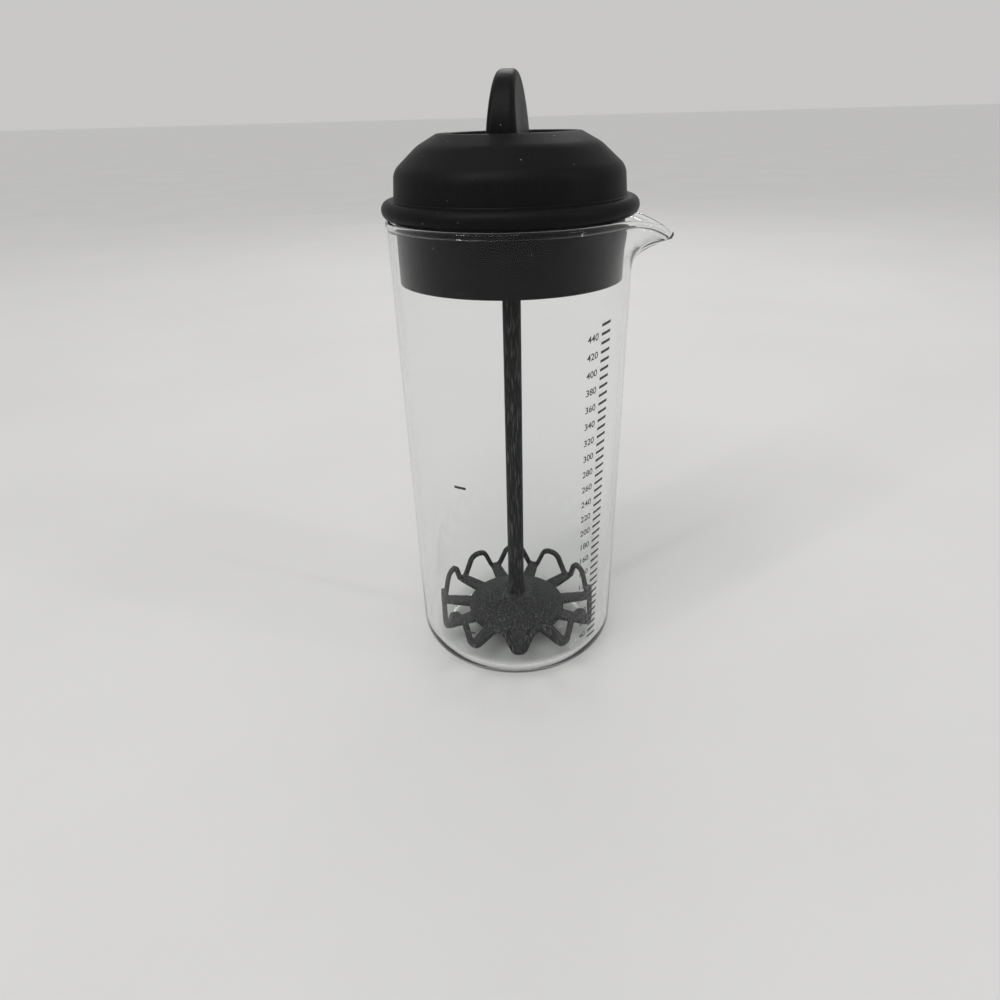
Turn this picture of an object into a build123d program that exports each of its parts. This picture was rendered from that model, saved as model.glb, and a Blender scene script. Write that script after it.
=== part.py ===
from build123d import *
import math
import os

# Salad dressing mixer bottle: a tapered glass beaker with a pouring lip, a plug-in lid with a pull-up
# plunger, and a petal mixing head on the plunger's rod. Millimetres, +Z up, the pouring lip along +X,
# the front with the measuring scale towards -Y. The origin is the centre of the glass's underside.

# Glass beaker
glass_height = 154.5
glass_rim_radius = 37.5
glass_taper = 1.5
glass_wall = 1.6
glass_floor = 3.6
glass_base_corner = 9.0
rim_bead_radius = 1.35
rim_bead_overhang = 0.35

# Pouring lip, in stations from inside the wall out to the tip
lip_overhang = 12.7
lip_root_bite = 6.0
lip_half_width = 18.0
lip_depth = 17.0
lip_droop = 6.2
lip_top_drop = 0.3
lip_wall = 1.2
lip_place_shares = (0.0, 0.35, 0.66, 0.88, 1.0)
lip_width_shares = (1.0, 0.64, 0.36, 0.20, 0.11)
lip_depth_shares = (1.0, 0.82, 0.44, 0.22, 0.12)
lip_droop_shares = (0.0, 0.06, 0.42, 0.80, 1.0)

# Lid
lid_seat_gap = 0.3
skirt_clearance = 1.0
skirt_length = 18.2
skirt_edge_round = 0.5
lid_wall = 1.9
flange_overhang = 0.3
flange_thickness = 5.2
flange_round_share = 0.48
dome_base_inset = 3.8
dome_shoulder_inset = 4.5
dome_shoulder_rise = 7.9
dome_waist_inset = 11.7
dome_waist_rise = 14.2
dome_rise = 18.0
groove_round = 0.5
shoulder_round = 5.0
waist_round = 10.0
crown_round = 1.1
crown_width = 7.2
recess_draft = 0.4
recess_depth = 11.5
guide_tube_radius = 6.0
guide_tube_length = 24.0
guide_clearance = 0.08

# Rod
rod_radius = 3.0
rod_end_chamfer = 0.5

# Handle
handle_height = 26.3
handle_side_gap = 3.3
handle_foot_width = 10.2
handle_top_width = 5.8
handle_edge_round = 1.7
handle_turn = -9.1
handle_neck_inset = 5.5
handle_corner_round = 6.5
handle_base_thickness = 3.2
handle_base_clearance = 1.1
handle_base_round = 0.6
handle_seat_gap = 0.3
handle_socket_depth = 6.5
press_clearance = 0.03

# Mixing head
head_bottom = 8.4
hub_boss_radius = 6.4
hub_rim_height = 3.4
hub_height = 8.6
hub_edge_round = 0.8
hub_socket_floor = 1.8
petal_count = 11
petal_clearance = 4.1
keel_free_length = 11.8
strand_size = 1.8
strand_tip_rise = 1.9
arch_lean = 1.7
arch_rise = 10.6
arch_shoulder_share = 0.36
arch_round_share = 1.3
tip_half_width = 1.6
tip_round = 1.8
keel_root_width = 5.8
keel_tip_width = 4.0
keel_thickness = 1.8
keel_lift = 0.9
keel_root_share = 0.8

overrun = 3.0

# Heights and radii that follow from the sizes above
glass_base_radius = glass_rim_radius - glass_taper
lip_reach = glass_rim_radius + lip_overhang
bead_level = glass_height - rim_bead_radius
bead_ring_radius = glass_rim_radius - glass_wall / 2 + rim_bead_overhang
flange_radius = bead_ring_radius + rim_bead_radius + flange_overhang
dome_base_radius = flange_radius - dome_base_inset
dome_shoulder_radius = flange_radius - dome_shoulder_inset
dome_waist_radius = flange_radius - dome_waist_inset
recess_radius = dome_waist_radius - crown_width
lid_seat = glass_height + lid_seat_gap
flange_top = lid_seat + flange_thickness
skirt_bottom = lid_seat - skirt_length
shoulder_level = flange_top + dome_shoulder_rise
waist_level = flange_top + dome_waist_rise
lid_top = flange_top + dome_rise
recess_floor = lid_top - recess_depth
guide_tube_bottom = recess_floor - guide_tube_length
handle_bottom = recess_floor + handle_seat_gap
handle_base_top = handle_bottom + handle_base_thickness
handle_base_radius = recess_radius - recess_draft - handle_base_clearance
handle_half_span = recess_radius - handle_side_gap
handle_neck_half_span = handle_half_span - handle_neck_inset
handle_top = handle_bottom + handle_height
rod_top = handle_bottom + handle_socket_depth
petal_reach = glass_base_radius - glass_wall - petal_clearance
hub_radius = petal_reach - keel_free_length
rod_bottom = head_bottom + hub_socket_floor
hub_top = head_bottom + hub_height
plunger_travel = guide_tube_bottom - hub_top - handle_seat_gap


def glass_radius_at(height):
    """Outer radius of the tapered glass wall at a height."""
    return glass_base_radius + (glass_rim_radius - glass_base_radius) * height / glass_height


skirt_radius = glass_radius_at(skirt_bottom) - glass_wall - skirt_clearance


def turned(corners):
    """Solid of revolution of a closed outline, from the radius, height and rounding of each corner."""
    profile = make_face(Polyline(*[(radius, 0, height) for radius, height, _ in corners], close=True))
    for radius, height, rounding in corners:
        if rounding > 0:
            profile = fillet(profile.vertices().sort_by_distance((radius, 0, height))[0], rounding)
    return revolve(profile, Axis.Z)


def upright_cylinder(radius, bottom, top):
    """Cylinder on the bottle's axis between two heights."""
    return Pos(0, 0, bottom) * Cylinder(radius, top - bottom, align=(Align.CENTER, Align.CENTER, Align.MIN))


def lip_stations():
    """Place, half width, depth and top level of the pouring lip at each of its stations."""
    root = glass_rim_radius - lip_root_bite
    level = glass_height - lip_top_drop
    shares = zip(lip_place_shares, lip_width_shares, lip_depth_shares, lip_droop_shares)
    return [(root + (lip_reach - root) * place, lip_half_width * width, lip_depth * depth,
             level - lip_droop * droop) for place, width, depth, droop in shares]


def lip_body(wall, rise):
    """Lofted half-oval body of the pouring lip, inset by a wall and open upwards by a rise."""
    sections = []
    for place, half_width, depth, level in lip_stations():
        across = half_width - wall
        plane = Plane(origin=(place, 0, level), x_dir=(0, 1, 0), z_dir=(1, 0, 0))
        under = EllipticalCenterArc((0, 0), across, depth - wall, start_angle=180, arc_size=180)
        corners = [(across, 0), (-across, 0)]
        if rise > 0:
            corners = [(across, 0), (across, rise), (-across, rise), (-across, 0)]
        sections.append(plane * make_face([under, Polyline(*corners)]))
    return loft(sections)


def make_glass_beaker():
    """Tapered beaker with a rounded foot, a rolled rim and a pulled-out pouring lip."""
    inside = glass_radius_at(glass_floor) - glass_wall
    mouth = glass_rim_radius - glass_wall
    top = glass_height + overrun
    shell = turned([(0, 0, 0), (glass_base_radius, 0, glass_base_corner), (glass_rim_radius, bead_level, 0),
                    (0, bead_level, 0)])
    shell += lip_body(0, 0)
    shell -= turned([(0, glass_floor, 0), (inside, glass_floor, glass_base_corner - glass_wall),
                     (mouth, top, 0), (0, top, 0)])
    shell += Pos(0, 0, bead_level) * Torus(bead_ring_radius, rim_bead_radius)
    return shell - lip_body(lip_wall, overrun)


def make_lid():
    """Domed lid: plug skirt, rolled flange, shoulder, sunk handle recess and the rod's guide tube."""
    bore = rod_radius + guide_clearance
    inside = skirt_radius - lid_wall
    recess_shell = recess_radius + lid_wall
    floor_under = recess_floor - lid_wall
    flange_round = flange_thickness * flange_round_share
    outer_side = [
        (inside, skirt_bottom, 0), (skirt_radius, skirt_bottom, skirt_edge_round),
        (skirt_radius, lid_seat, 0), (flange_radius, lid_seat, flange_round),
        (flange_radius, flange_top, flange_round), (dome_base_radius, flange_top, groove_round),
        (dome_shoulder_radius, shoulder_level, shoulder_round), (dome_waist_radius, waist_level, waist_round),
        (recess_radius, lid_top, crown_round)]
    recess_and_guide = [
        (recess_radius - recess_draft, recess_floor, 0), (bore, recess_floor, 0),
        (bore, guide_tube_bottom, 0), (guide_tube_radius, guide_tube_bottom, 0),
        (guide_tube_radius, floor_under, 0)]
    inner_side = [
        (recess_shell, floor_under, 0), (recess_shell, lid_top - 2 * lid_wall, 0),
        (dome_waist_radius - lid_wall / 2, waist_level - lid_wall, 0),
        (inside, shoulder_level - lid_wall / 2, 0)]
    return turned(outer_side + recess_and_guide + inner_side)


def make_rod():
    """Plain round rod with chamfered ends."""
    rod = upright_cylinder(rod_radius, rod_bottom, rod_top)
    return chamfer(rod.edges().filter_by(GeomType.CIRCLE), rod_end_chamfer)


def grip_outline():
    """Face of the grip in its own plane: round on top, drawn in below to the neck on the base."""
    spring = handle_top - handle_half_span
    foot = handle_bottom + handle_base_thickness / 2
    edge = spring - handle_corner_round
    arch = ThreePointArc((-handle_half_span, spring), (0, handle_top), (handle_half_span, spring))
    corners = [(handle_half_span, spring), (handle_half_span, edge), (handle_neck_half_span, foot),
               (-handle_neck_half_span, foot), (-handle_half_span, edge), (-handle_half_span, spring)]
    return make_face([arch, Polyline(*corners)])


def make_handle():
    """Flat upright grip on a round base that sits in the lid's recess, with a blind socket for the rod."""
    base = turned([(0, handle_bottom, 0), (handle_base_radius, handle_bottom, 0),
                   (handle_base_radius, handle_base_top, handle_base_round), (0, handle_base_top, 0)])
    foot = handle_bottom + handle_base_thickness / 2
    side = Plane(origin=(0, 0, 0), x_dir=(0, 1, 0), z_dir=(1, 0, 0))
    front = Plane(origin=(0, 0, 0), x_dir=(1, 0, 0), z_dir=(0, -1, 0))
    grip = extrude(side * grip_outline(), amount=handle_foot_width, both=True)
    taper = make_face(Polyline((-handle_foot_width / 2, foot), (handle_foot_width / 2, foot),
                               (handle_top_width / 2, handle_top), (-handle_top_width / 2, handle_top),
                               close=True))
    grip &= extrude(front * taper, amount=handle_half_span + overrun, both=True)
    flanks = grip.faces().sort_by(Axis.X)
    rims = flanks[0].edges() + flanks[-1].edges()
    grip = fillet([edge for edge in rims if edge.center().Z > handle_base_top], handle_edge_round)
    bore = upright_cylinder(rod_radius + press_clearance, handle_bottom - overrun, rod_top)
    return Rot(0, 0, handle_turn) * (base + grip - bore)


def arch_path():
    """Line of the thin arch between two petal tips: along a tip, up, over and down to the next tip."""
    half_pitch = math.radians(180 / petal_count)
    tip_reach = petal_reach - strand_size / 2
    tip_level = head_bottom + strand_tip_rise
    tip_side = half_pitch - tip_half_width / tip_reach
    crown_reach = petal_reach - arch_lean
    shoulder = half_pitch * arch_shoulder_share
    arch_round = arch_round_share * crown_reach * math.sin(shoulder)
    stations = [(tip_reach, half_pitch, tip_level), (tip_reach, tip_side, tip_level),
                (crown_reach, shoulder, head_bottom + arch_rise)]
    near = [Vector(reach * math.cos(turn), -reach * math.sin(turn), level) for reach, turn, level in stations]
    far = [Vector(point.X, -point.Y, point.Z) for point in reversed(near)]
    return FilletPolyline(*near, *far, radius=[tip_round, arch_round, arch_round, tip_round])


def make_petal():
    """One petal: a flat keel from the hub to its tip, and the thin arch from there to the next tip."""
    path = arch_path()
    section = Plane(origin=path @ 0, x_dir=(0, 0, 1), z_dir=path % 0) * Rectangle(strand_size, strand_size)
    root = hub_radius * keel_root_share
    end = petal_reach - keel_tip_width / 2
    blade = make_face(Polyline((root, -keel_root_width / 2), (end, -keel_tip_width / 2),
                               (end, keel_tip_width / 2), (root, keel_root_width / 2), close=True))
    keel = blade + Pos(end, 0) * Circle(keel_tip_width / 2)
    keel = Pos(0, 0, head_bottom + keel_lift) * extrude(keel, amount=keel_thickness)
    return keel + Rot(0, 0, 180 / petal_count) * sweep(section, path)


def make_mixer_head():
    """Hub with a socket for the rod and a crown of open petals."""
    hub_rim = head_bottom + hub_rim_height
    hub = turned([(0, head_bottom, 0), (hub_radius, head_bottom, hub_edge_round),
                  (hub_radius, hub_rim, hub_edge_round), (hub_boss_radius, hub_top, 0), (0, hub_top, 0)])
    petal = make_petal()
    head = hub + [Rot(0, 0, index * 360 / petal_count - 90) * petal for index in range(petal_count)]
    return head - upright_cylinder(rod_radius + press_clearance, rod_bottom, hub_top + overrun)


def main():
    os.makedirs("parts", exist_ok=True)
    parts = {
        "glass_beaker": make_glass_beaker(),
        "lid": make_lid(),
        "handle": make_handle(),
        "rod": make_rod(),
        "mixer_head": make_mixer_head(),
    }
    for name, part in parts.items():
        export_step(part, f"parts/{name}.step")
    print(f"plunger travel {plunger_travel:.2f}, handle top {handle_top:.2f}, skirt radius {skirt_radius:.2f}")
    print(f"guide tube {guide_tube_bottom:.2f} to {recess_floor:.2f}, rod {rod_bottom:.2f} to {rod_top:.2f}")


main()
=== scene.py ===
import bpy
import math
from mathutils import Matrix


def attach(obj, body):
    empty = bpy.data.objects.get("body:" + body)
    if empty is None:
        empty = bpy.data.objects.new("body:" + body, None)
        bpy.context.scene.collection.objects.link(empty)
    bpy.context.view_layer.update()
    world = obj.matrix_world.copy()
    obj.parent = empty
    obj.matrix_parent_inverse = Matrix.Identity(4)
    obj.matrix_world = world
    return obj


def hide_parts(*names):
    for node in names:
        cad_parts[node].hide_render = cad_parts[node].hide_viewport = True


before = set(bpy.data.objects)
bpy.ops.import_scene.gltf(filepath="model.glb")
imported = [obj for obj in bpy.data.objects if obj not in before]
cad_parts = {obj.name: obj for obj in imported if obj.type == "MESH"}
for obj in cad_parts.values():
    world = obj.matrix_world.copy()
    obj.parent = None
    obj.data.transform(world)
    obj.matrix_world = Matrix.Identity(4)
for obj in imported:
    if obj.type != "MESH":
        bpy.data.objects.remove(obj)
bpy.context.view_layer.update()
millimetre = 0.001


# Small helpers

def addNode(tree, kind, **settings):
    node = tree.nodes.new(kind)
    for name, value in settings.items():
        setattr(node, name, value)
    return node


def setInputs(node, **values):
    for name, value in values.items():
        node.inputs[name.replace("_", " ")].default_value = value


def inMillimetres(x, y, z):
    return x * millimetre, y * millimetre, z * millimetre


def meshObject(name, points, faces):
    mesh = bpy.data.meshes.new(name)
    mesh.from_pydata(points, [], faces)
    mesh.update()
    piece = bpy.data.objects.new(name, mesh)
    bpy.context.scene.collection.objects.link(piece)
    return piece


def shadeSmooth(piece):
    for polygon in piece.data.polygons:
        polygon.use_smooth = True


def coat(piece, material):
    piece.data.materials.clear()
    piece.data.materials.append(material)


def newMaterial(name):
    material = bpy.data.materials.new(name)
    material.use_nodes = True
    return material, material.node_tree, material.node_tree.nodes["Principled BSDF"]


# Effects that several materials share, each a group with a Scale and one Value out

noiseForm = {
    "grainDetail": 3.0, "grainRough": 0.6,
    "cloudDetail": 4.0, "cloudRough": 0.55,
    "scratchDetail": 2.0, "scratchRough": 0.5,
    "scratchFrom": 0.60, "scratchTo": 0.67,  # noise levels between which a scratch starts to show
    "scratchStretch": (52.0, 52.0, 5.0),  # long and thin, mostly upright
    "scratchTurns": ((0.0, 0.62, 0.3), (0.5, -0.7, 1.2)),  # two crossing directions, in radians
    "speckRarity": 3.0,
}


def newGroup(name, inputs):
    group = bpy.data.node_groups.new(name, "ShaderNodeTree")
    for label, value in inputs:
        socket = group.interface.new_socket(label, in_out="INPUT", socket_type="NodeSocketFloat")
        socket.default_value = value
    group.interface.new_socket("Value", in_out="OUTPUT", socket_type="NodeSocketFloat")
    return group, addNode(group, "NodeGroupInput"), addNode(group, "NodeGroupOutput")


def scaledPlace(tree, scaleSocket, stretch=(1.0, 1.0, 1.0), turn=(0.0, 0.0, 0.0)):
    place = addNode(tree, "ShaderNodeTexCoord")
    mapping = addNode(tree, "ShaderNodeMapping")
    setInputs(mapping, Rotation=turn, Scale=stretch)
    grow = addNode(tree, "ShaderNodeVectorMath", operation="SCALE")
    tree.links.new(place.outputs["Object"], mapping.inputs["Vector"])
    tree.links.new(mapping.outputs["Vector"], grow.inputs[0])
    tree.links.new(scaleSocket, grow.inputs["Scale"])
    return grow.outputs[0]


def noiseAt(tree, place, detail, rough):
    noise = addNode(tree, "ShaderNodeTexNoise")
    setInputs(noise, Scale=1.0, Detail=detail, Roughness=rough)
    tree.links.new(place, noise.inputs["Vector"])
    return noise.outputs["Fac"]


def joined(tree, operation, first, second):
    node = addNode(tree, "ShaderNodeMath", operation=operation)
    tree.links.new(first, node.inputs[0])
    tree.links.new(second, node.inputs[1])
    return node.outputs[0]


def makeNoise(name, scale, detail, rough):
    group, entry, leave = newGroup(name, [("Scale", scale)])
    place = scaledPlace(group, entry.outputs["Scale"])
    group.links.new(noiseAt(group, place, detail, rough), leave.inputs["Value"])
    return group


def makeSpecks():
    group, entry, leave = newGroup("dustSpecks", [("Scale", 600.0), ("Size", 0.12)])
    cells = addNode(group, "ShaderNodeTexVoronoi")
    setInputs(cells, Scale=1.0, Randomness=1.0)
    chance = addNode(group, "ShaderNodeSeparateColor")
    rare = addNode(group, "ShaderNodeMath", operation="POWER")
    rare.inputs[1].default_value = noiseForm["speckRarity"]  # few cells hold a large speck
    group.links.new(scaledPlace(group, entry.outputs["Scale"]), cells.inputs["Vector"])
    group.links.new(cells.outputs["Color"], chance.inputs["Color"])
    group.links.new(chance.outputs["Red"], rare.inputs[0])
    size = joined(group, "MULTIPLY", rare.outputs[0], entry.outputs["Size"])
    speck = joined(group, "LESS_THAN", cells.outputs["Distance"], size)
    group.links.new(speck, leave.inputs["Value"])
    return group


def makeScratches():
    group, entry, leave = newGroup("fineScratches", [("Scale", 60.0), ("Amount", 0.3)])
    total = None
    for turn in noiseForm["scratchTurns"]:
        place = scaledPlace(group, entry.outputs["Scale"], noiseForm["scratchStretch"], turn)
        noise = noiseAt(group, place, noiseForm["scratchDetail"], noiseForm["scratchRough"])
        keep = addNode(group, "ShaderNodeMapRange")
        setInputs(keep, From_Min=noiseForm["scratchFrom"], From_Max=noiseForm["scratchTo"])
        group.links.new(noise, keep.inputs["Value"])
        streaks = keep.outputs["Result"]
        total = streaks if total is None else joined(group, "MAXIMUM", total, streaks)
    amount = joined(group, "MULTIPLY", total, entry.outputs["Amount"])
    group.links.new(amount, leave.inputs["Value"])
    return group


effects = {
    "grain": makeNoise("mouldGrain", 3000.0, noiseForm["grainDetail"], noiseForm["grainRough"]),
    "specks": makeSpecks(),
    "scratches": makeScratches(),
    "clouds": makeNoise("broadClouds", 40.0, noiseForm["cloudDetail"], noiseForm["cloudRough"]),
}
print("effects made")


def useEffect(tree, name, **values):
    node = addNode(tree, "ShaderNodeGroup", node_tree=effects[name])
    setInputs(node, **values)
    return node.outputs["Value"]


mixSockets = {"factor": 0, "low": 6, "high": 7, "result": 2}  # a colour Mix node's own places


def blendColour(tree, mask, low, high, share=1.0):
    mix = addNode(tree, "ShaderNodeMix", data_type="RGBA")
    scaled = addNode(tree, "ShaderNodeMath", operation="MULTIPLY", use_clamp=True)
    scaled.inputs[1].default_value = share
    tree.links.new(mask, scaled.inputs[0])
    tree.links.new(scaled.outputs[0], mix.inputs[mixSockets["factor"]])
    for end, value in (("low", low), ("high", high)):
        socket = mix.inputs[mixSockets[end]]
        if isinstance(value, tuple):
            socket.default_value = (*value, 1.0)
        else:
            tree.links.new(value, socket)
    return mix.outputs[mixSockets["result"]]


def remapped(tree, value, fromLow, fromHigh, toLow, toHigh):
    node = addNode(tree, "ShaderNodeMapRange")
    setInputs(node, From_Min=fromLow, From_Max=fromHigh, To_Min=toLow, To_Max=toHigh)
    tree.links.new(value, node.inputs["Value"])
    return node.outputs["Result"]


def plastic(name, look):
    material, tree, shader = newMaterial(name)
    clouds = useEffect(tree, "clouds", Scale=look["cloudScale"])
    specks = useEffect(tree, "specks", Scale=look["speckScale"], Size=look["speckSize"])
    scratches = useEffect(tree, "scratches", Scale=look["scratchScale"], Amount=look["scratchAmount"])
    grain = useEffect(tree, "grain", Scale=look["grainScale"])
    colour = blendColour(tree, clouds, look["dark"], look["light"])
    colour = blendColour(tree, scratches, colour, look["scratchColour"])
    colour = blendColour(tree, specks, colour, look["dust"], look["dustShare"])
    tree.links.new(colour, shader.inputs["Base Color"])
    rough = remapped(tree, clouds, look["cloudLow"], look["cloudHigh"], look["roughLow"], look["roughHigh"])
    tree.links.new(rough, shader.inputs["Roughness"])
    bump = addNode(tree, "ShaderNodeBump")
    setInputs(bump, Strength=look["bump"], Distance=look["bumpDepth"] * millimetre)
    tree.links.new(grain, bump.inputs["Height"])
    tree.links.new(bump.outputs["Normal"], shader.inputs["Normal"])
    setInputs(shader, IOR=look["ior"], Specular_IOR_Level=look["gloss"])
    return material


# Glass beaker: a turned wall whose rim is drawn out into the pouring lip, in millimetres

beaker = {
    "height": 154.5, "baseRadius": 36.0, "rimRadius": 37.5, "wall": 1.6, "floor": 2.4, "corner": 10.5,
    "beadRadius": 1.05, "beadNeckShare": 1.15, "beadOverhang": 0.25,
    "beadFrom": -48, "beadTo": 228,  # degrees round the bead, from the outer wall to the inner one
    "underPush": 0.5, "underRadius": 22.0, "footInset": 1.5,
    "underRings": ((0.0, 1.0), (0.8, 0.9), (1.0, 0.5)),  # shares of the radius and push underneath
    "floorRingShare": 0.6,
    "lipStart": 137.2, "lipHalfAngle": 44.0, "lipTipAngle": 2.6,
    "lipBend": 1.85, "lipSideBend": 2.4,
    "lipDrop": 5.8, "lipDropBend": 1.6, "lipDropRise": 0.8, "lipLift": 1.1,
    "lipMargin": 0.5, "fineStep": 0.6, "coarseStep": 0.75, "leastStep": 0.01,
    "wallSteps": 10, "lipSteps": 30, "arcSteps": 14,
}


def wallRadius(height):
    taper = beaker["rimRadius"] - beaker["baseRadius"]
    return beaker["baseRadius"] + taper * height / beaker["height"]


def arcPoints(centre, radius, start, end, steps):
    points = []
    for index in range(steps + 1):
        angle = math.radians(start + (end - start) * index / steps)
        points.append((centre[0] + radius * math.cos(angle), centre[1] + radius * math.sin(angle)))
    return points


def beadStart():
    return beaker["height"] - beaker["beadRadius"] * (1 + beaker["beadNeckShare"])


def wallHeights():
    corner, lip = beaker["corner"], beaker["lipStart"]
    heights = [corner + (lip - corner) * index / beaker["wallSteps"]
               for index in range(1, beaker["wallSteps"])]
    return heights + [lip + (beadStart() - lip) * index / beaker["lipSteps"]
                      for index in range(beaker["lipSteps"] + 1)]


def beakerProfile():
    wall, corner, arcSteps = beaker["wall"], beaker["corner"], beaker["arcSteps"]
    heights = wallHeights()
    outerCorner = (wallRadius(corner) - corner, corner)
    innerCorner = corner - wall
    innerCentre = (wallRadius(beaker["floor"]) - wall - innerCorner, beaker["floor"] + innerCorner)
    beadCentre = (beaker["rimRadius"] - wall / 2 + beaker["beadOverhang"],
                  beaker["height"] - beaker["beadRadius"])
    profile = [(beaker["underRadius"] * out, beaker["underPush"] * up) for out, up in beaker["underRings"]]
    profile.append((outerCorner[0] - beaker["footInset"], 0.0))
    profile += arcPoints(outerCorner, corner, -90, 0, arcSteps)
    profile += [(wallRadius(height), height) for height in heights]
    profile += arcPoints(beadCentre, beaker["beadRadius"], beaker["beadFrom"], beaker["beadTo"],
                         2 * arcSteps)
    profile += [(wallRadius(height) - wall, height) for height in reversed(heights)]
    profile += arcPoints(innerCentre, innerCorner, 0, -90, arcSteps)
    profile += [(beaker["underRadius"] * beaker["floorRingShare"], beaker["floor"]), (0.0, beaker["floor"])]
    return profile


def fromLip(angle):
    return (angle + 180.0) % 360.0 - 180.0  # degrees either side of the lip's middle


def lipPull(angle):
    side = math.hypot(fromLip(angle), beaker["lipTipAngle"])
    if side >= beaker["lipHalfAngle"]:
        return 0.0
    tangent = math.cos(math.radians(beaker["lipHalfAngle"] - side))  # straight sides, tangent to the rim
    return beaker["rimRadius"] / tangent - beaker["rimRadius"]


def drawnOut(radius, height, angle, inner):
    rise = (height - beaker["lipStart"]) / (beadStart() - beaker["lipStart"])
    rise = min(rise, 1.0)  # the bead moves whole
    full = lipPull(angle)
    if full <= 0.0 or rise <= 0.0:
        return radius, height
    side = abs(fromLip(angle)) / beaker["lipHalfAngle"]
    pull = rise ** (beaker["lipBend"] + beaker["lipSideBend"] * side)
    share = full / lipPull(0.0)
    drop = beaker["lipDrop"] * share ** beaker["lipDropBend"] * pull ** beaker["lipDropRise"]
    lift = 4 * beaker["lipLift"] * share * rise * (1 - rise) if inner else 0.0  # thicker midway
    return radius + full * pull, height - drop + lift


def beakerAngles():
    edge = beaker["lipHalfAngle"] + beaker["lipMargin"]
    angles, angle = [], -edge
    while angle < 360.0 - edge - beaker["leastStep"]:
        angles.append(angle)
        angle += beaker["fineStep"] if angle < edge else beaker["coarseStep"]
    return angles


def makeBeaker():
    profile, angles = beakerProfile(), beakerAngles()
    points, faces = [inMillimetres(0, 0, profile[0][1])], []
    for radius, height in profile[1:-1]:
        inner = radius < wallRadius(height) - beaker["wall"] / 2
        for angle in angles:
            reach, level = drawnOut(radius, height, angle, inner)
            turn = math.radians(angle)
            points.append(inMillimetres(reach * math.cos(turn), reach * math.sin(turn), level))
    points.append(inMillimetres(0, 0, profile[-1][1]))
    ring, last, rows = len(angles), len(points) - 1, len(profile) - 2
    top = 1 + (rows - 1) * ring
    for index in range(ring):
        after = (index + 1) % ring
        faces.append((0, 1 + after, 1 + index))
        faces.append((last, top + index, top + after))
        for row in range(rows - 1):
            low, high = 1 + row * ring, 1 + (row + 1) * ring
            faces.append((low + index, low + after, high + after, high + index))
    piece = meshObject("beakerGlass", points, faces)
    shadeSmooth(piece)
    return piece


glassLook = {
    "tint": (0.952, 0.962, 0.957), "tintLight": (0.965, 0.973, 0.969), "cloudScale": 28.0,
    "roughness": 0.0, "smudge": 0.035, "smudgeFrom": 0.52, "smudgeTo": 0.75,
    "ior": 1.47, "mirror": (0.22, 0.22, 0.22), "shadowTint": (0.90, 0.905, 0.90),
}


def makeGlassMaterial():
    material, tree, shader = newMaterial("clearGlass")
    setInputs(shader, Roughness=glassLook["roughness"], IOR=glassLook["ior"], Transmission_Weight=1.0,
              Specular_Tint=(*glassLook["mirror"], 1.0))
    clouds = useEffect(tree, "clouds", Scale=glassLook["cloudScale"])
    tint = blendColour(tree, clouds, glassLook["tint"], glassLook["tintLight"])
    tree.links.new(tint, shader.inputs["Base Color"])
    smudge = remapped(tree, clouds, glassLook["smudgeFrom"], glassLook["smudgeTo"],
                      glassLook["roughness"], glassLook["smudge"])
    tree.links.new(smudge, shader.inputs["Roughness"])
    passing = addNode(tree, "ShaderNodeBsdfTransparent")  # lamps light what stands inside the glass
    setInputs(passing, Color=(*glassLook["shadowTint"], 1.0))
    path = addNode(tree, "ShaderNodeLightPath")
    lighting = joined(tree, "MAXIMUM", path.outputs["Is Shadow Ray"], path.outputs["Is Diffuse Ray"])
    mix = addNode(tree, "ShaderNodeMixShader")
    tree.links.new(lighting, mix.inputs[0])
    tree.links.new(shader.outputs[0], mix.inputs[1])
    tree.links.new(passing.outputs[0], mix.inputs[2])
    tree.links.new(mix.outputs[0], tree.nodes["Material Output"].inputs["Surface"])
    return material


beakerGlass = makeBeaker()
coat(beakerGlass, makeGlassMaterial())
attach(beakerGlass, "glass")
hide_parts("glass_beaker")
print("beaker made")


# Printed scale: ticks, numbers and two level dashes wrapped on the outer wall, in millimetres

scale = {
    "first": 30, "last": 450, "step": 10, "numberStep": 20, "firstLevel": 13.7, "lastLevel": 127.4,
    "tickAngle": 46.4, "tickLength": 4.2, "tickHeight": 0.88, "printTilt": 0.13, "dashSteps": 6,
    "numberHeight": 2.05, "numberGap": 2.6, "numberBold": 0.045, "capShare": 0.7,
    "levelDashes": ((-29.2, 78.2, 4.2), (-28.2, 21.3, 4.2)),  # angle, level and length
    "inkLift": 0.03, "inkColour": (0.012, 0.012, 0.013), "inkWorn": (0.05, 0.05, 0.052),
    "inkGrain": 1800.0, "inkRoughness": 0.42,
}


def wrapped(across, level, angle):
    radius = wallRadius(level) + scale["inkLift"]
    turn = math.radians(angle - 90.0) + across / radius
    return inMillimetres(radius * math.cos(turn), radius * math.sin(turn), level)


def markLevel(volume):
    share = (volume - scale["first"]) / (scale["last"] - scale["first"])
    return scale["firstLevel"] + (scale["lastLevel"] - scale["firstLevel"]) * share


def addDash(points, faces, angle, level, length, tilt=0.0):
    steps = scale["dashSteps"]
    start = len(points)
    for index in range(steps + 1):
        across = length * (index / steps - 0.5)
        for side in (-0.5, 0.5):
            points.append(wrapped(across, level + side * scale["tickHeight"] + across * tilt, angle))
    for index in range(steps):
        corner = start + 2 * index
        faces.append((corner, corner + 2, corner + 3, corner + 1))


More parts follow.
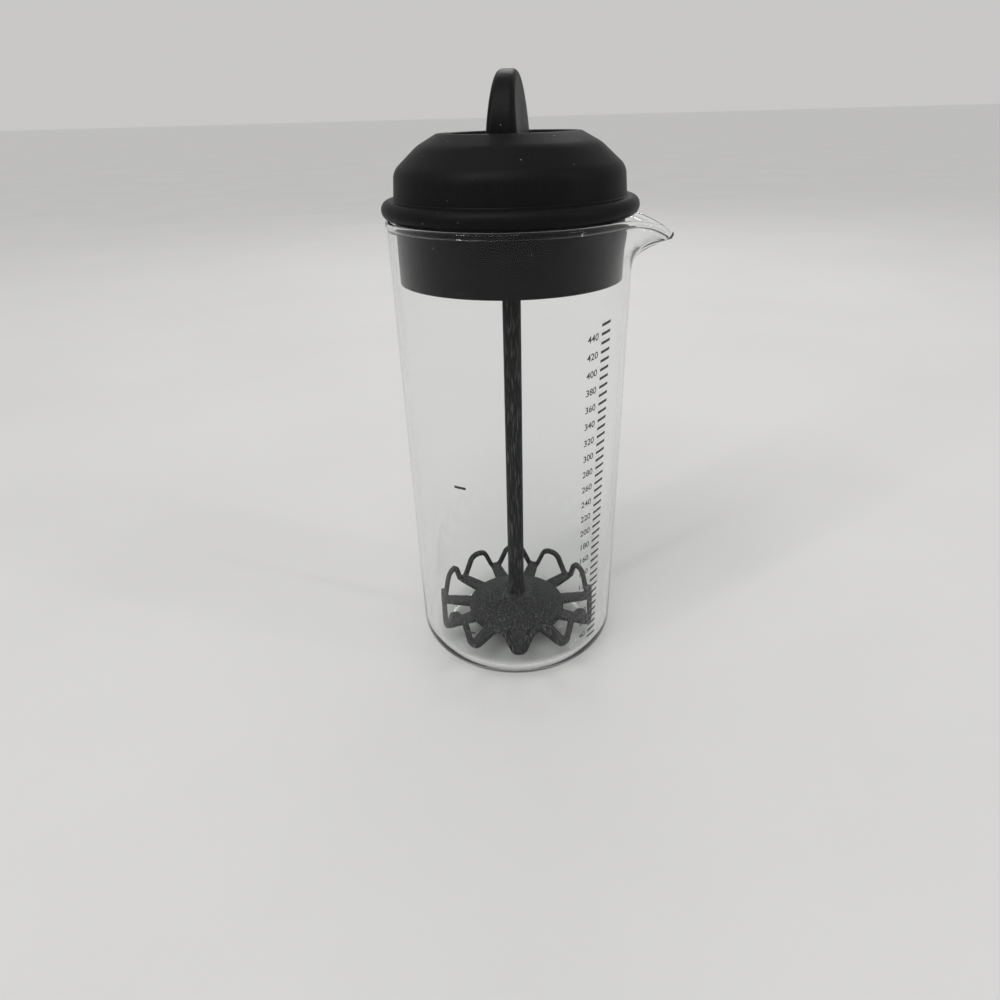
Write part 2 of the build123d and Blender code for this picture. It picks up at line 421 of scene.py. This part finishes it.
def addNumber(points, faces, text, angle, level):
    curve = bpy.data.curves.new("number", "FONT")
    curve.body = text
    curve.align_x = "RIGHT"
    curve.size = scale["numberHeight"] / scale["capShare"]
    curve.offset = scale["numberBold"]
    carrier = bpy.data.objects.new("number", curve)
    glyphs = carrier.to_mesh()
    start = len(points)
    shift = -scale["tickLength"] / 2 - scale["numberGap"] / 2
    for vertex in glyphs.vertices:
        across = vertex.co.x + shift
        rise = vertex.co.y - scale["numberHeight"] / 2 + across * scale["printTilt"]
        points.append(wrapped(across, level + rise, angle))
    for polygon in glyphs.polygons:
        faces.append(tuple(start + index for index in polygon.vertices))
    carrier.to_mesh_clear()
    bpy.data.objects.remove(carrier)
    bpy.data.curves.remove(curve)


def makeScale():
    points, faces = [], []
    tickAngle = scale["tickAngle"]
    for volume in range(scale["first"], scale["last"] + 1, scale["step"]):
        addDash(points, faces, tickAngle, markLevel(volume), scale["tickLength"], scale["printTilt"])
    for volume in range(scale["first"] + scale["step"], scale["last"], scale["numberStep"]):
        addNumber(points, faces, str(volume), tickAngle, markLevel(volume))
    for angle, level, length in scale["levelDashes"]:
        addDash(points, faces, angle, level, length)
    return meshObject("printedScale", points, faces)


def makeInk():
    material, tree, shader = newMaterial("scaleInk")
    grain = useEffect(tree, "grain", Scale=scale["inkGrain"])
    colour = blendColour(tree, grain, scale["inkColour"], scale["inkWorn"])
    tree.links.new(colour, shader.inputs["Base Color"])
    setInputs(shader, Roughness=scale["inkRoughness"])
    return material


printedScale = makeScale()
coat(printedScale, makeInk())
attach(printedScale, "glass")
print("scale printed")


# Plastic pieces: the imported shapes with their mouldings' finish

lidLook = {
    "dark": (0.004, 0.004, 0.0044), "light": (0.0068, 0.0068, 0.0075),
    "cloudScale": 55.0, "cloudLow": 0.3, "cloudHigh": 0.7,
    "dust": (0.30, 0.29, 0.27), "dustShare": 0.5, "speckScale": 420.0, "speckSize": 0.10,
    "scratchColour": (0.05, 0.05, 0.052), "scratchScale": 40.0, "scratchAmount": 0.04,
    "grainScale": 1900.0, "bump": 0.12, "bumpDepth": 0.03,
    "roughLow": 0.38, "roughHigh": 0.50, "gloss": 0.07, "ior": 1.48,
}
handleLook = dict(
    lidLook, roughLow=0.36, roughHigh=0.48, bump=0.04, speckSize=0.09, scratchAmount=0.10,
)
rodLook = dict(
    lidLook, dark=(0.009, 0.009, 0.010), light=(0.015, 0.015, 0.0165), roughLow=0.38, roughHigh=0.52,
    bump=0.03, scratchAmount=0.4, scratchColour=(0.19, 0.19, 0.195),
)
headLook = dict(
    lidLook, dark=(0.011, 0.011, 0.012), light=(0.019, 0.019, 0.0205), roughLow=0.42, roughHigh=0.56,
    bump=0.03, scratchAmount=0.7, scratchColour=(0.14, 0.14, 0.145),
)
headForm = {"weld": 0.002, "voxel": 0.3, "smoothTurns": 2}
plasticPieces = {"lid": lidLook, "handle": handleLook, "rod": rodLook, "mixer_head": headLook}


def roundedMoulding(piece):
    weld = piece.modifiers.new("weld", "WELD")
    weld.merge_threshold = headForm["weld"] * millimetre
    remesh = piece.modifiers.new("mould", "REMESH")
    remesh.mode = "VOXEL"
    remesh.voxel_size = headForm["voxel"] * millimetre
    remesh.use_smooth_shade = True
    smooth = piece.modifiers.new("soften", "SMOOTH")
    smooth.iterations = headForm["smoothTurns"]


for name, look in plasticPieces.items():
    coat(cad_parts[name], plastic(name + "Plastic", look))
roundedMoulding(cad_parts["mixer_head"])
print("plastics finished")


# Stage: pale floor, soft light and the photograph's camera, in metres and degrees

stage = {
    "floorSize": 60.0, "floorColour": (0.68, 0.67, 0.655), "floorColourDeep": (0.61, 0.60, 0.585),
    "floorClouds": 6.0, "floorRoughness": 0.75,
    "backdrop": (0.58, 0.575, 0.565), "backdropStrength": 1.0,
    "glow": (0.96, 0.98, 1.0), "glowStrength": 0.42,
    "sunStrength": 1.35, "sunAngle": 50, "sunTurn": (28, -16, 0),
}
softboxes = {
    "keySoftbox": {"place": (-0.7, -0.55, 0.95), "turn": (52, 0, -52), "size": (0.06, 0.9), "power": 3.2},
    "fillSoftbox": {"place": (0.85, -0.35, 0.6), "turn": (62, 0, 68), "size": (0.04, 0.8), "power": 1.6},
    "backSoftbox": {"place": (0.1, 0.95, 0.8), "turn": (-52, 0, 0), "size": (0.5, 0.05), "power": 2.0},
}
photoView = {
    "place": (-0.00545, -0.23757, 0.18240), "pitch": 27.925, "roll": -1.570, "sensor": 36.0, "lens": 26.359,
}


def placed(name, data):
    thing = bpy.data.objects.new(name, data)
    bpy.context.scene.collection.objects.link(thing)
    return thing


def turned(thing, turn):
    thing.rotation_euler = [math.radians(angle) for angle in turn]


def makeFloor():
    half = stage["floorSize"] / 2
    corners = [(-half, -half, 0), (half, -half, 0), (half, half, 0), (-half, half, 0)]
    floor = meshObject("studioFloor", corners, [(0, 1, 2, 3)])
    material, tree, shader = newMaterial("paleFloor")
    clouds = useEffect(tree, "clouds", Scale=stage["floorClouds"])
    colour = blendColour(tree, clouds, stage["floorColour"], stage["floorColourDeep"])
    tree.links.new(colour, shader.inputs["Base Color"])
    setInputs(shader, Roughness=stage["floorRoughness"])
    coat(floor, material)


def makeWorld():
    world = bpy.data.worlds.new("studio")
    world.use_nodes = True
    tree = world.node_tree
    seen = tree.nodes["Background"]
    setInputs(seen, Color=(*stage["backdrop"], 1.0), Strength=stage["backdropStrength"])
    glow = addNode(tree, "ShaderNodeBackground")
    setInputs(glow, Color=(*stage["glow"], 1.0), Strength=stage["glowStrength"])
    path = addNode(tree, "ShaderNodeLightPath")
    most = joined(tree, "MAXIMUM", path.outputs["Is Camera Ray"], path.outputs["Is Transmission Ray"])
    most = joined(tree, "MAXIMUM", most, path.outputs["Is Glossy Ray"])
    mix = addNode(tree, "ShaderNodeMixShader")
    tree.links.new(most, mix.inputs[0])
    tree.links.new(glow.outputs[0], mix.inputs[1])
    tree.links.new(seen.outputs[0], mix.inputs[2])
    tree.links.new(mix.outputs[0], tree.nodes["World Output"].inputs["Surface"])
    bpy.context.scene.world = world


def softSun():
    light = bpy.data.lights.new("softSun", "SUN")
    light.energy = stage["sunStrength"]
    light.angle = math.radians(stage["sunAngle"])
    turned(placed("softSun", light), stage["sunTurn"])


def softbox(name, values):
    light = bpy.data.lights.new(name, "AREA")
    light.shape = "RECTANGLE"
    light.size, light.size_y = values["size"]
    light.energy = values["power"]
    lamp = placed(name, light)
    lamp.location = values["place"]
    turned(lamp, values["turn"])


def makeCamera():
    camera = bpy.data.cameras.new("photoCamera")
    camera.sensor_width = photoView["sensor"]
    camera.lens = photoView["lens"]
    eye = placed("photoCamera", camera)
    pitch = Matrix.Rotation(math.radians(90 - photoView["pitch"]), 4, "X")
    roll = Matrix.Rotation(math.radians(photoView["roll"]), 4, "Z")
    eye.matrix_world = Matrix.Translation(photoView["place"]) @ pitch @ roll
    bpy.context.scene.camera = eye


makeFloor()
makeWorld()
softSun()
for name, values in softboxes.items():
    softbox(name, values)
makeCamera()
bpy.context.scene.view_settings.view_transform = "Standard"
print("stage set")
